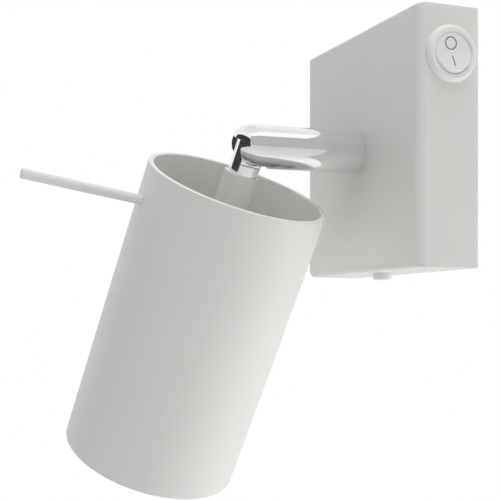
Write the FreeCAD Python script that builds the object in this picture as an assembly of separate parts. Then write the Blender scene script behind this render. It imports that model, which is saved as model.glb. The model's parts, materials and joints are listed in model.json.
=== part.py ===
# Pivoting spotlight wall light: a square wall box with a rocker switch, a short arm that turns
# about its own axis, a slotted ball joint, and a tubular lamp head with a handle rod.
# Millimetres. Origin: centre of the box's back face, on the wall.
# -Y points out of the wall, +X is the side with the switch, +Z is up.

import FreeCAD
import Part

import math
import os

V = FreeCAD.Vector

# Pose that the light is modelled in, and how far the head tilts back past hanging straight down
arm_turn_at_rest = 25.0
head_tilt_at_rest = 10.0
head_tilt_back = 5.0

# Clearances and details that all pieces share
running_clearance = 0.05
thread_clearance = 0.03
screw_hole_clearance = 0.15
nut_corner_turning = 0.25
overrun = 1.0
same_place = 1e-4

# Wall box
box_width = 80.0
box_height = 80.0
box_depth = 21.0
box_wall = 1.6
box_bend_radius = 3.0
box_bevel = 0.3

# Wall bracket
bracket_thickness = 1.5
bracket_edge_gap = 0.4
slot_length = 12.0
slot_width = 4.5
slot_edge_distance = 4.0
tab_width = 14.0
tab_gap = 0.2
tab_end_gap = 1.0

# Cable entry
cable_hole_diameter = 20.0
cable_hole_edge_distance = 8.0
grommet_flange = 2.0
grommet_flange_height = 2.0
grommet_bore = 9.0
grommet_fit = 0.1

# Cover screws, M4
cover_screw_setback = 11.4
cover_screw_diameter = 4.0
cover_screw_length = 7.0
cover_screw_head_diameter = 6.4
cover_screw_head_height = 2.3
cover_screw_head_round = 0.9
cover_screw_recess_width = 0.8
cover_screw_recess_length = 3.8
cover_screw_recess_depth = 1.1

# Terminal block on the bracket
block_poles = 3
block_pole_pitch = 8.0
block_width = 14.0
block_depth = 12.0
block_edge_distance = 6.0
block_bottom_distance = 4.2
block_wire_bore = 3.4
block_tube_wall = 0.8
block_tube_inset = 1.0
block_groove_width = 1.0
block_groove_depth = 2.5
block_screw_diameter = 2.6
block_screw_sink = 0.6
block_screw_notch_width = 0.6
block_screw_notch_depth = 0.8
block_screw_tip_gap = 0.1

# Earth screw on the bracket, M4
earth_edge_distance = 14.0
earth_washer_diameter = 10.0
earth_washer_thickness = 1.0
earth_screw_wall_gap = 0.2
earth_screw_notch_width = 0.8
earth_screw_notch_depth = 1.0

# Rocker switch on the side
switch_height = 25.0
switch_mid_offset = 0.8
switch_lean = 12.0
bezel_flange = 1.3
bezel_slope = 0.9
bezel_height = 1.9
bezel_rim_height = 0.7
switch_barrel_diameter = 15.0
switch_barrel_length = 14.0
switch_barrel_clearance = 0.1
switch_bracket_gap = 0.5
switch_cavity_depth = 5.6
rocker_gap = 0.15
switch_barrel_wall = 0.8
rocker_pivot_depth = 0.5
rocker_flush_height = 1.5
rocker_skirt_depth = 4.0
rocker_throw = 14.0
rocker_pin_diameter = 2.4
rocker_pin_gap = 0.3
switch_blade_width = 4.8
switch_blade_thickness = 0.8
switch_blade_length = 7.0
switch_blade_spacing = 7.0
switch_blade_eye_diameter = 1.6
switch_blade_eye_distance = 2.0

# Arm
arm_diameter = 14.0
arm_reach = 58.9
arm_bore = 6.4
arm_spigot_diameter = 9.9
arm_spigot_end_gap = 0.7
base_ring_thickness = 3.2
base_ring_inset = 0.15
bearing_washer_thickness = 0.5
stop_washer_thickness = 1.0
spring_washer_thickness = 0.8
spring_washer_diameter = 13.0
arm_nut_thickness = 3.0
nut_across_flats = 14.0
washer_diameter = 14.0
washer_bore_clearance = 0.05
stop_tab_width = 4.0
stop_tab_reach = 10.8
stop_pin_radius_from_axis = 9.5
stop_pin_diameter = 3.0
stop_pin_length = 2.0

# Ball joint at the arm's end
joint_slot_width = 8.8
joint_roof_gap = 0.4
joint_back_gap = 0.57
joint_pocket_clearance = 0.3
hinge_pin_diameter = 2.5
hinge_pin_blind_depth = 1.0
hinge_pin_head_diameter = 4.0
hinge_pin_head_height = 1.0
hinge_pin_sink = 0.25
hinge_pin_notch_width = 0.6
hinge_pin_notch_depth = 0.5
hinge_washer_diameter = 6.4
hinge_washer_thickness = 0.6
hinge_washer_clearance = 0.05

# Swivel stub that carries the head
stub_diameter = 10.0
stub_eye_wall = 1.0
stub_shoulder_gap = 0.55
stub_window_width = 4.7
stub_window_length = 7.4
stub_thread_undercut = 0.1
stub_bore = 7.0
collar_distance = 9.3
collar_ledge = 0.4
collar_thickness = 1.0
sleeve_wall_at_collar = 0.7
sleeve_top_above_collar_seat = 1.0

# Lamp tube
tube_diameter = 60.6
tube_length = 101.0
tube_wall = 1.8
tube_rim_distance = 13.85
tube_rim_round = 0.5

# Handle rod, with its thread and nut
rod_drop = 11.55
rod_diameter = 3.2
rod_reach = 38.9
rod_thread_diameter = 3.0
rod_end_round = 0.4
rod_thread_end_gap = 1.0
small_nut_across_flats = 5.5
small_nut_thickness = 2.4
rear_screw_head_diameter = 5.6
rear_screw_head_height = 1.8
rear_screw_recess_width = 0.6
rear_screw_recess_length = 3.0
rear_screw_recess_depth = 1.0
screw_head_gap = 0.05

# Bridge that carries the tube and the lamp holder
bridge_thickness = 1.5
bridge_width = 16.0
bridge_tab_width = 12.0
bridge_tab_top = 2.9
bridge_drop_below_rod = 5.0
bridge_tube_gap = 0.1
lock_nut_thickness = 3.0
nipple_end = 0.5

# Lamp holder and its screws
holder_diameter = 30.0
holder_height = 14.0
holder_spacer_height = 5.0
holder_spacer_diameter = 6.0
holder_screw_diameter = 3.0
holder_screw_spacing = 23.0
holder_screw_head_diameter = 5.5
holder_screw_head_height = 1.8
holder_screw_grip = 6.0
holder_screw_hole_spare = 0.5
holder_screw_notch_width = 0.7
holder_screw_notch_depth = 0.9
holder_edge_round = 1.2
holder_wire_hole = 2.4
holder_wire_hole_depth = 4.0

# Twist-lock lamp, 50 mm reflector type
lamp_diameter = 50.0
lamp_length = 53.0
lamp_neck_diameter = 27.0
lamp_neck_length = 9.0
lamp_rim_height = 4.5
lamp_lens_diameter = 45.0
lamp_lens_thickness = 2.0
lamp_lens_recess = 0.3
lamp_flank_bulge = 4.5
lamp_flank_bulge_rise = 2.0
lamp_cup_floor = 4.0
lamp_shell = 1.2
lamp_gap = 0.3
lamp_pin_spacing = 10.0
lamp_pin_diameter = 3.0
lamp_pin_head_diameter = 5.0
lamp_pin_length = 7.0
lamp_pin_head_length = 2.0
lamp_twist = 25.0
pin_slot_clearance = 0.3
pin_slot_depth = 8.0

# Leads inside the light
lead_diameter = 1.8
lead_bend = 2.5
lead_offset = 1.8
head_lead_offset = 2.5
lead_gap = 3.0
lead_end_gap = 0.3
lead_seat_in_block = 1.5
lead_seat_in_holder = 3.0

# Sizes that follow from the ones above
box_inner_front = box_depth - box_wall
box_inner_half_width = box_width / 2 - box_wall
box_inner_half_height = box_height / 2 - box_wall
bracket_half_width = box_inner_half_width - bracket_edge_gap
bracket_half_height = box_inner_half_height - tab_gap
slot_centre = bracket_half_width - slot_edge_distance - slot_length / 2
cable_hole_z = -bracket_half_height + cable_hole_edge_distance + cable_hole_diameter / 2
block_height = block_poles * block_pole_pitch
block_left = -bracket_half_width + block_edge_distance
block_bottom = -bracket_half_height + block_bottom_distance
block_wire_depth = bracket_thickness + block_depth / 2
switch_depth = box_depth / 2 - switch_mid_offset
bezel_diameter = switch_barrel_diameter + 2 * bezel_flange
bezel_top_diameter = bezel_diameter - 2 * bezel_slope
arm_radius = arm_diameter / 2
spigot_radius = arm_spigot_diameter / 2
stack_start = box_inner_front
stop_washer_front = stack_start - bearing_washer_thickness
spring_washer_front = stop_washer_front - stop_washer_thickness
arm_nut_front = spring_washer_front - spring_washer_thickness
spigot_end = arm_nut_front - arm_nut_thickness - arm_spigot_end_gap
stub_radius = stub_diameter / 2
stub_thread_diameter = stub_diameter - stub_thread_undercut
collar_diameter = stub_diameter + 2 * collar_ledge
sleeve_diameter = collar_diameter + 2 * sleeve_wall_at_collar
stub_top = hinge_pin_diameter / 2 + running_clearance + stub_eye_wall
back_tilt = math.radians(head_tilt_back)
joint_slot_roof = stub_top + joint_roof_gap
joint_slot_back = (stub_radius + arm_radius * math.sin(back_tilt)) / math.cos(back_tilt) + joint_back_gap
stub_flat_length = math.sqrt(arm_radius ** 2 - (joint_slot_width / 2) ** 2) + stub_shoulder_gap
arm_shoulder = box_depth + base_ring_thickness
pocket_radius = math.hypot(stub_radius, stub_top) + joint_pocket_clearance
tongue_thickness = joint_slot_width - 2 * (hinge_washer_thickness + hinge_washer_clearance)
tube_radius = tube_diameter / 2
tube_bore_radius = tube_radius - tube_wall
tube_end = tube_rim_distance + tube_length
rod_height = tube_rim_distance + rod_drop
bridge_top = rod_height + bridge_drop_below_rod
bridge_bottom = bridge_top + bridge_thickness
bridge_tab_outer = tube_bore_radius - bridge_tube_gap
bridge_tab_inner = bridge_tab_outer - bridge_thickness
nipple_bottom = bridge_bottom + lock_nut_thickness + nipple_end
holder_top = bridge_bottom + holder_spacer_height
holder_bottom = holder_top + holder_height
lamp_top = holder_bottom + lamp_gap
rocker_radius = switch_barrel_diameter / 2 - switch_barrel_wall - rocker_gap
block_tube_radius = block_wire_bore / 2 + block_tube_wall


# Basic shapes

def rod(radius, start, end):
    """Solid cylinder between two points."""
    axis = end - start
    return Part.makeCylinder(radius, axis.Length, start, axis)


def block(low, high):
    """Solid box between its lowest and highest corners."""
    size = high - low
    return Part.makeBox(size.x, size.y, size.z, low)


def out_rod(radius, from_wall_a, from_wall_b, x=0.0, z=0.0):
    """Cylinder square to the wall, between two distances from it."""
    return rod(radius, V(x, -from_wall_a, z), V(x, -from_wall_b, z))


def down_rod(radius, top, bottom, x=0.0, y=0.0):
    """Cylinder along the hanging tube's axis, between two distances below the pivot."""
    return rod(radius, V(x, y, -top), V(x, y, -bottom))


def hexagon(across_flats, start, end):
    """Hexagonal bar between two points."""
    corner = across_flats / math.sqrt(3)
    axis = end - start
    points = [V(corner * math.cos(math.radians(60 * i)), corner * math.sin(math.radians(60 * i)), 0)
              for i in range(7)]
    bar = Part.Face(Part.makePolygon(points)).extrude(V(0, 0, axis.Length))
    bar.Placement = FreeCAD.Placement(start, FreeCAD.Rotation(V(0, 0, 1), axis))
    return bar


def nut(across_flats, bore_radius, start, end):
    """Hexagonal nut with slightly turned corners."""
    across_corners = 2 * across_flats / math.sqrt(3)
    turned = rod(across_corners / 2 - nut_corner_turning, start, end)
    return hexagon(across_flats, start, end).common(turned).cut(rod(bore_radius, start, end))


def cross_recess(width, length, low, high):
    """Two crossed slots round the Z axis, between two heights."""
    return [block(V(-x / 2, -y / 2, low), V(x / 2, y / 2, high))
            for x, y in ((width, length), (length, width))]


def turned_profile(points):
    """Solid turned about the X axis from (x, radius) points."""
    outline = [V(x, r, 0) for x, r in points]
    face = Part.Face(Part.makePolygon(outline + outline[:1]))
    return face.revolve(V(0, 0, 0), V(1, 0, 0), 360)


def edges_at(shape, test):
    """Edges whose both ends and middle pass a test."""
    chosen = []
    for edge in shape.Edges:
        points = [vertex.Point for vertex in edge.Vertexes] + [edge.CenterOfMass]
        if all(test(point) for point in points):
            chosen.append(edge)
    return chosen


def near(a, b):
    return abs(a - b) < same_place


def lead(points):
    """Round lead through straight runs, with an arc at each corner."""
    edges = []
    start = points[0]
    for before, corner, after in zip(points, points[1:], points[2:]):
        towards = (before - corner).normalize()
        away = (after - corner).normalize()
        turn = math.pi - towards.getAngle(away)
        setback = lead_bend * math.tan(turn / 2)
        entry = corner + towards * setback
        leave = corner + away * setback
        inward = (towards + away).normalize()
        middle = corner + inward * (lead_bend / math.cos(turn / 2) - lead_bend)
        edges.append(Part.LineSegment(start, entry).toShape())
        edges.append(Part.Arc(entry, middle, leave).toShape())
        start = leave
    edges.append(Part.LineSegment(start, points[-1]).toShape())
    direction = points[1] - points[0]
    section = Part.Wire(Part.Circle(points[0], direction, lead_diameter / 2).toShape())
    return Part.Wire(edges).makePipeShell([section], True, False)


# Placing

def on_arm(shape):
    """Turns a piece, drawn with the arm at its zero, to the modelled pose."""
    placed = shape.copy()
    placed.rotate(V(0, 0, 0), V(0, 1, 0), arm_turn_at_rest)
    return placed


def at_joint(shape):
    """Moves a piece, drawn round the joint's centre, to the end of the arm."""
    placed = shape.copy()
    placed.translate(V(0, -arm_reach, 0))
    return on_arm(placed)


def on_head(shape):
    """Tilts a piece, drawn with the tube hanging straight down from the pivot, then moves it."""
    placed = shape.copy()
    placed.rotate(V(0, 0, 0), V(-1, 0, 0), head_tilt_at_rest)
    return at_joint(placed)


def on_switch(shape):
    """Moves a piece, drawn with the switch facing +X at the origin, to the box's side."""
    placed = shape.copy()
    placed.rotate(V(0, 0, 0), V(1, 0, 0), switch_lean)
    placed.translate(V(box_width / 2, -switch_depth, switch_height))
    return placed


# Wall box

def rounded_box(half_width, half_height, depth, radius):
    """Box in front of the wall with bent upright edges."""
    body = block(V(-half_width, -depth, -half_height), V(half_width, 0, half_height))
    front = edges_at(body, lambda p: near(abs(p.x), half_width) and near(p.y, -depth))
    return body.makeFillet(radius, front)


def base_cover():
    outer = rounded_box(box_width / 2, box_height / 2, box_depth, box_bend_radius)
    ends = edges_at(outer, lambda p: near(abs(p.z), box_height / 2) and near(p.y, -box_depth))
    outer = outer.makeChamfer(box_bevel, ends)
    inner = rounded_box(box_inner_half_width, box_inner_half_height, box_inner_front,
                        box_bend_radius - box_wall)
    arm_hole = out_rod(spigot_radius + running_clearance, 0, box_depth + overrun)
    switch_hole = barrel_space(switch_barrel_clearance)
    screw_hole = rod(cover_screw_diameter / 2 + screw_hole_clearance,
                     V(0, -cover_screw_setback, -box_height), V(0, -cover_screw_setback, box_height))
    return outer.cut([inner, arm_hole, switch_hole, screw_hole])


def barrel_space(gap):
    """Room for the switch's barrel, with a gap round it."""
    return on_switch(rod(switch_barrel_diameter / 2 + gap, V(-switch_barrel_length - gap, 0, 0),
                         V(box_wall, 0, 0)))


def rotation_stop():
    """Pin on the inside of the front that the stop washer's tab runs against."""
    return out_rod(stop_pin_diameter / 2, box_inner_front - stop_pin_length, box_inner_front,
                   z=-stop_pin_radius_from_axis)


def slot_cutter(x):
    half = slot_length / 2 - slot_width / 2
    ends = [out_rod(slot_width / 2, -overrun, bracket_thickness + overrun, x + side * half)
            for side in (-1, 1)]
    middle = block(V(x - half, -bracket_thickness - overrun, -slot_width / 2),
                   V(x + half, overrun, slot_width / 2))
    return middle.fuse(ends)


def wall_bracket():
    plate = block(V(-bracket_half_width, -bracket_thickness, -bracket_half_height),
                  V(bracket_half_width, 0, bracket_half_height))
    corners = edges_at(plate, lambda p: near(abs(p.x), bracket_half_width)
                       and near(abs(p.z), bracket_half_height))
    plate = plate.makeFillet(box_bend_radius, corners)
    tab_end = box_inner_front - tab_end_gap
    tabs = []
    for side in (-1, 1):
        inner = bracket_half_height - bracket_thickness
        low, high = sorted((side * inner, side * bracket_half_height))
        tabs.append(block(V(-tab_width / 2, -tab_end, low), V(tab_width / 2, 0, high)))
    body = plate.fuse(tabs).removeSplitter()
    cable_hole = out_rod(cable_hole_diameter / 2, -overrun, bracket_thickness + overrun, z=cable_hole_z)
    screw_hole = rod(cover_screw_diameter / 2 + thread_clearance,
                     V(0, -cover_screw_setback, -box_height), V(0, -cover_screw_setback, box_height))
    earth_hole = out_rod(cover_screw_diameter / 2 + thread_clearance, -overrun,
                         bracket_thickness + overrun, *earth_place())
    return body.cut([slot_cutter(-slot_centre), slot_cutter(slot_centre), cable_hole, screw_hole,
                     earth_hole, barrel_space(switch_bracket_gap)])


def earth_place():
    return bracket_half_width - earth_edge_distance, -bracket_half_height + earth_edge_distance


def cable_grommet():
    """Rubber bush pressed into the bracket's hole from inside."""
    radius = cable_hole_diameter / 2
    body = out_rod(radius - grommet_fit, 0, bracket_thickness, z=cable_hole_z)
    top = bracket_thickness + grommet_flange_height
    flange = out_rod(radius + grommet_flange, bracket_thickness, top, z=cable_hole_z)
    bore = out_rod(grommet_bore / 2, -overrun, top + overrun, z=cable_hole_z)
    return body.fuse(flange).cut(bore)


def cover_screw(side):
    """Pan-head screw in the underside (side -1) or the top (side 1) of the box."""
    face = box_height / 2
    top = face + cover_screw_head_height
    head = rod(cover_screw_head_diameter / 2, V(0, 0, face), V(0, 0, top))
    head = head.makeFillet(cover_screw_head_round, edges_at(head, lambda p: near(p.z, top)))
    shank = rod(cover_screw_diameter / 2, V(0, 0, face - cover_screw_length), V(0, 0, face))
    screw = head.fuse(shank).cut(cross_recess(cover_screw_recess_width, cover_screw_recess_length,
                                              top - cover_screw_recess_depth, top))
    screw.translate(V(0, -cover_screw_setback, 0))
    if side < 0:
        screw.rotate(V(0, -cover_screw_setback, 0), V(0, 1, 0), 180)
    return screw


def cover_screws():
    return Part.makeCompound([cover_screw(-1), cover_screw(1)])


# Terminal block and earth screw

def pole_heights():
    return [block_bottom + (i + 0.5) * block_pole_pitch for i in range(block_poles)]


def pole_screw_places():
    return [(block_left + block_width * share, z) for z in pole_heights() for share in (0.25, 0.75)]


def terminal_block():
    front = bracket_thickness + block_depth
    body = block(V(block_left, -front, block_bottom),
                 V(block_left + block_width, -bracket_thickness, block_bottom + block_height))
    left = block_left - overrun
    right = block_left + block_width + overrun
    cuts = [rod(block_tube_radius, V(left, -block_wire_depth, z), V(right, -block_wire_depth, z))
            for z in pole_heights()]
    cuts += [out_rod(block_screw_diameter / 2 + running_clearance, block_wire_depth, front + overrun, x, z)
             for x, z in pole_screw_places()]
    for z in pole_heights()[1:]:
        middle = z - block_pole_pitch / 2
        cuts.append(block(V(left, -front - overrun, middle - block_groove_width / 2),
                          V(right, -front + block_groove_depth, middle + block_groove_width / 2)))
    return body.cut(cuts)


def terminal_tubes():
    outer = block_tube_radius - running_clearance
    tubes = []
    for z in pole_heights():
        start = V(block_left + block_tube_inset, -block_wire_depth, z)
        end = V(block_left + block_width - block_tube_inset, -block_wire_depth, z)
        screw_holes = [out_rod(block_screw_diameter / 2 + thread_clearance, block_wire_depth,
                               block_wire_depth + outer + overrun, x, height)
                       for x, height in pole_screw_places() if near(height, z)]
        tubes.append(rod(outer, start, end).cut([rod(block_wire_bore / 2, start, end)] + screw_holes))
    return Part.makeCompound(tubes)


def terminal_screws():
    tip = block_wire_depth + lead_diameter / 2 + block_screw_tip_gap
    top = bracket_thickness + block_depth - block_screw_sink
    half = block_screw_notch_width / 2
    screws = []
    for x, z in pole_screw_places():
        screw = out_rod(block_screw_diameter / 2, tip, top, x, z)
        notch = block(V(x - block_screw_diameter, -top - overrun, z - half),
                      V(x + block_screw_diameter, -top + block_screw_notch_depth, z + half))
        screws.append(screw.cut(notch))
    return Part.makeCompound(screws)


def earth_screw():
    x, z = earth_place()
    seat = bracket_thickness + earth_washer_thickness
    top = seat + cover_screw_head_height
    shank = out_rod(cover_screw_diameter / 2, earth_screw_wall_gap, seat, x, z)
    head = out_rod(cover_screw_head_diameter / 2, seat, top, x, z)
    half = earth_screw_notch_width / 2
    notch = block(V(x - cover_screw_head_diameter, -top - overrun, z - half),
                  V(x + cover_screw_head_diameter, -top + earth_screw_notch_depth, z + half))
    return shank.fuse(head).cut(notch)


def earth_washer():
    x, z = earth_place()
    seat = bracket_thickness + earth_washer_thickness
    ring = out_rod(earth_washer_diameter / 2, bracket_thickness, seat, x, z)
    return ring.cut(out_rod(cover_screw_diameter / 2 + running_clearance, 0, seat + overrun, x, z))


# Rocker switch

def switch_body():
    window = rocker_radius + rocker_gap
    barrel = switch_barrel_diameter / 2
    bezel = turned_profile([(0, window), (0, bezel_diameter / 2), (bezel_rim_height, bezel_diameter / 2),
                            (bezel_height, bezel_top_diameter / 2), (bezel_height, window)])
    wall = rod(barrel, V(-switch_barrel_length, 0, 0), V(0, 0, 0))
    cavity = rod(window, V(-switch_cavity_depth, 0, 0), V(0, 0, 0))
    body = wall.cut(cavity).fuse(bezel).removeSplitter()
    pin_reach = rocker_radius + rocker_pin_gap + running_clearance
    pin_hole = rod(rocker_pin_diameter / 2 + running_clearance,
                   V(-rocker_pivot_depth, -pin_reach, 0), V(-rocker_pivot_depth, pin_reach, 0))
    return on_switch(body.cut(pin_hole))


def switch_rocker():
    """Ball-shaped rocker, flush on its upper half and raised on its lower half."""
    ball = Part.makeSphere(rocker_radius, V(-rocker_pivot_depth, 0, 0))
    reach = 2 * rocker_radius
    skirt_cut = block(V(-reach, -reach, -reach), V(-rocker_skirt_depth, reach, reach))
    flush_cut = block(V(rocker_flush_height, -reach, 0), V(reach, reach, reach))
    raised_cut = block(V(rocker_flush_height, -reach, -reach), V(reach, reach, 0))
    raised_cut.rotate(V(rocker_flush_height, 0, 0), V(0, -1, 0), rocker_throw)
    end = rocker_radius + rocker_pin_gap
    pin = rod(rocker_pin_diameter / 2, V(-rocker_pivot_depth, -end, 0), V(-rocker_pivot_depth, end, 0))
    return on_switch(ball.cut([skirt_cut, flush_cut, raised_cut]).fuse(pin))


def switch_blades():
    start = -switch_barrel_length
    tip = start - switch_blade_length
    half_width = switch_blade_width / 2
    half = switch_blade_thickness / 2
    eye_x = tip + switch_blade_eye_distance
    blades = []
    for side in (-1, 1):
        z = side * switch_blade_spacing / 2
        blade = block(V(tip, -half_width, z - half), V(start, half_width, z + half))
        eye = rod(switch_blade_eye_diameter / 2, V(eye_x, 0, z - overrun), V(eye_x, 0, z + overrun))
        blades.append(blade.cut(eye))
    return on_switch(Part.makeCompound(blades))


# Arm and its fixing inside the box

def arm():
    body = out_rod(arm_radius, arm_shoulder, arm_reach)
    ball = Part.makeSphere(arm_radius, V(0, -arm_reach, 0))
    spigot = out_rod(spigot_radius, spigot_end, arm_shoulder)
    body = body.fuse([ball, spigot])
    bore = out_rod(arm_bore / 2, 0, arm_reach)
    half_slot = joint_slot_width / 2
    reach = 2 * arm_radius
    slot = block(V(-half_slot, -reach, -reach), V(half_slot, joint_slot_back, joint_slot_roof))
    sides = block(V(-half_slot, -reach, -reach), V(half_slot, reach, reach))
    pocket = Part.makeSphere(pocket_radius).common(sides)
    washer_space = rod(hinge_washer_diameter / 2 + running_clearance, V(-half_slot, 0, 0),
                       V(half_slot, 0, 0))
    pin_hole = rod(hinge_pin_diameter / 2 + running_clearance, V(-reach, 0, 0),
                   V(arm_radius - hinge_pin_blind_depth, 0, 0))
    head_start = -arm_radius + hinge_pin_sink + hinge_pin_head_height
    head_hole = rod(hinge_pin_head_diameter / 2 + running_clearance, V(-reach, 0, 0),
                    V(head_start, 0, 0))
    cuts = [slot, pocket, washer_space, pin_hole, head_hole]
    for cut in cuts:
        cut.translate(V(0, -arm_reach, 0))
    return on_arm(body.cut([bore] + cuts))


def washer_ring(radius, front, back):
    bore = spigot_radius + washer_bore_clearance
    return out_rod(radius, back, front).cut(out_rod(bore, back - overrun, front + overrun))


def arm_base_ring():
    """Chromed slip ring between the arm's shoulder and the box's front."""
    return on_arm(washer_ring(arm_radius - base_ring_inset, arm_shoulder, box_depth))


def arm_bearing_washer():
    return on_arm(washer_ring(washer_diameter / 2, stack_start, stop_washer_front))


def arm_stop_washer():
    ring = out_rod(washer_diameter / 2, spring_washer_front, stop_washer_front)
    tab = block(V(-stop_tab_width / 2, -stop_washer_front, 0),
                V(stop_tab_width / 2, -spring_washer_front, stop_tab_reach))
    bore = out_rod(spigot_radius + washer_bore_clearance, 0, box_depth)
    return on_arm(ring.fuse(tab).removeSplitter().cut(bore))


def arm_spring_washer():
    return on_arm(washer_ring(spring_washer_diameter / 2, spring_washer_front, arm_nut_front))


def arm_nut():
    return on_arm(nut(nut_across_flats, spigot_radius + thread_clearance,
                      V(0, -arm_nut_front, 0), V(0, -arm_nut_front + arm_nut_thickness, 0)))


# Ball joint

def hinge_pin():
    """Slotted pin, put in from the cheek away from the switch side, flush under its surface."""
    outer = -arm_radius + hinge_pin_sink
    shank_end = arm_radius - hinge_pin_blind_depth - hinge_pin_sink
    shank = rod(hinge_pin_diameter / 2, V(outer, 0, 0), V(shank_end, 0, 0))
    head = rod(hinge_pin_head_diameter / 2, V(outer, 0, 0), V(outer + hinge_pin_head_height, 0, 0))
    half = hinge_pin_notch_width / 2
    notch = block(V(outer - overrun, -hinge_pin_head_diameter, -half),
                  V(outer + hinge_pin_notch_depth, hinge_pin_head_diameter, half))
    return at_joint(shank.fuse(head).cut(notch))


def hinge_washers():
    rings = []
    for side in (-1, 1):
        outer = side * joint_slot_width / 2
        inner = side * (joint_slot_width / 2 - hinge_washer_thickness)
        low, high = sorted((outer, inner))
        ring = rod(hinge_washer_diameter / 2, V(low, 0, 0), V(high, 0, 0))
        rings.append(ring.cut(rod(hinge_pin_diameter / 2 + running_clearance, V(low, 0, 0),
                                  V(high, 0, 0))))
    return at_joint(Part.makeCompound(rings))


def swivel_stub():
    """Chromed stub: a flat-sided tongue in the joint, a collar, and a thread inside the tube."""
    barrel = down_rod(stub_radius, -stub_top, collar_distance)
    reach = 2 * stub_radius
    half_tongue = tongue_thickness / 2
    flats = [block(V(half_tongue, -reach, -stub_flat_length), V(reach, reach, reach)),
             block(V(-reach, -reach, -stub_flat_length), V(-half_tongue, reach, reach))]
    barrel = barrel.cut(flats)
    collar = down_rod(collar_diameter / 2, collar_distance, collar_distance + collar_thickness)
    thread = down_rod(stub_thread_diameter / 2, collar_distance, nipple_bottom)
    body = barrel.fuse([collar, thread])
    bore = down_rod(stub_bore / 2, collar_distance - overrun, nipple_bottom + overrun)
    eye = rod(hinge_pin_diameter / 2 + running_clearance, V(-reach, 0, 0), V(reach, 0, 0))
    return on_head(body.cut([stub_window(), bore, eye]))


def stub_window():
    """Long hole through the tongue, for the leads on both sides of the pin."""
    half = stub_window_width / 2
    run = stub_window_length / 2 - half
    low = -collar_distance
    corners = [V(-half, -run, low), V(-half, run, low), V(half, run, low), V(half, -run, low)]
    edges = [Part.makeLine(corners[0], corners[1]),
             Part.Arc(corners[1], V(0, run + half, low), corners[2]).toShape(),
             Part.makeLine(corners[2], corners[3]),
             Part.Arc(corners[3], V(0, -run - half, low), corners[0]).toShape()]
    return Part.Face(Part.Wire(edges)).extrude(V(0, 0, collar_distance + 2 * stub_radius))


def stub_sleeve():
    """White sleeve round the thread, clamped between the stub's collar and the bridge."""
    seat = collar_distance + collar_thickness
    top = seat - sleeve_top_above_collar_seat
    body = down_rod(sleeve_diameter / 2, top, bridge_top)
    recess = down_rod(collar_diameter / 2 + running_clearance, top - overrun, seat)
    bore = down_rod(stub_thread_diameter / 2 + running_clearance, top - overrun, bridge_top + overrun)
    return on_head(body.cut([recess, bore]))


# Lamp tube, handle rod and bridge

def shade_tube():
    outer = down_rod(tube_radius, tube_rim_distance, tube_end)
    inner = down_rod(tube_bore_radius, tube_rim_distance - overrun, tube_end + overrun)
    tube = outer.cut(inner)
    rims = edges_at(tube, lambda p: near(p.z, -tube_rim_distance) or near(p.z, -tube_end))
    tube = tube.makeFillet(tube_rim_round, rims)
    hole = rod(rod_thread_diameter / 2 + running_clearance, V(0, -tube_diameter, -rod_height),
               V(0, tube_diameter, -rod_height))
    return on_head(tube.cut(hole))


def thread_end():
    return bridge_tab_inner - small_nut_thickness - rod_thread_end_gap


def handle_rod():
    tip = tube_radius + rod_reach
    bar = rod(rod_diameter / 2, V(0, -tube_radius, -rod_height), V(0, -tip, -rod_height))
    bar = bar.makeFillet(rod_end_round, edges_at(bar, lambda p: near(p.y, -tip)))
    thread = rod(rod_thread_diameter / 2, V(0, -thread_end(), -rod_height),
                 V(0, -tube_radius, -rod_height))
    return on_head(bar.fuse(thread))


def rear_screw():
    """Pan-head screw that holds the bridge's rear tab to the tube."""
    under_head = math.sqrt(tube_radius ** 2 - (rear_screw_head_diameter / 2) ** 2)
    top = tube_radius + rear_screw_head_height
    head = rod(rear_screw_head_diameter / 2, V(0, 0, under_head), V(0, 0, top))
    head = head.cut(cross_recess(rear_screw_recess_width, rear_screw_recess_length,
                                 top - rear_screw_recess_depth, top))
    shank = rod(rod_thread_diameter / 2, V(0, 0, thread_end()), V(0, 0, top - rear_screw_recess_depth))
    for shape in (head, shank):
        shape.rotate(V(0, 0, 0), V(1, 0, 0), -90)
        shape.translate(V(0, 0, -rod_height))
    return on_head(head.cut(down_rod(tube_radius + screw_head_gap, 0, tube_end)).fuse(shank))


def bridge_nuts():
    bore = rod_thread_diameter / 2 + thread_clearance
    nuts = []
    for side in (-1, 1):
        near_tab = V(0, side * bridge_tab_inner, -rod_height)
        far = V(0, side * (bridge_tab_inner - small_nut_thickness), -rod_height)
        nuts.append(nut(small_nut_across_flats, bore, near_tab, far))
    return on_head(Part.makeCompound(nuts))


def holder_bridge():
    """Strip across the tube, with curved tabs turned up against the tube's wall."""
    tab_top = rod_height - bridge_tab_top
    ring = down_rod(bridge_tab_outer, tab_top, bridge_bottom).cut(
        down_rod(bridge_tab_inner, tab_top - overrun, bridge_bottom + overrun))
    half_tab = bridge_tab_width / 2
    tabs = ring.common(block(V(-half_tab, -tube_radius, -bridge_bottom),
                             V(half_tab, tube_radius, -tab_top)))
    half = bridge_width / 2
    strip = block(V(-half, -tube_radius, -bridge_bottom), V(half, tube_radius, -bridge_top))
    strip = strip.common(down_rod(bridge_tab_outer, bridge_top, bridge_bottom))
    seat_face = block(V(-half_tab, -bridge_tab_inner, -rod_height - small_nut_across_flats),
                      V(half_tab, bridge_tab_inner, -tab_top + overrun))
    body = strip.fuse(tabs.cut(seat_face)).removeSplitter()
    nipple_hole = down_rod(stub_thread_diameter / 2 + screw_hole_clearance, bridge_top - overrun,
                           bridge_bottom + overrun)
    rod_hole = rod(rod_thread_diameter / 2 + running_clearance, V(0, -tube_radius, -rod_height),
                   V(0, tube_radius, -rod_height))
    screw_holes = [down_rod(holder_screw_diameter / 2 + screw_hole_clearance, bridge_top - overrun,
                            bridge_bottom + overrun, y=y) for y in holder_screw_places()]
    return on_head(body.cut([nipple_hole, rod_hole] + screw_holes))


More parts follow.
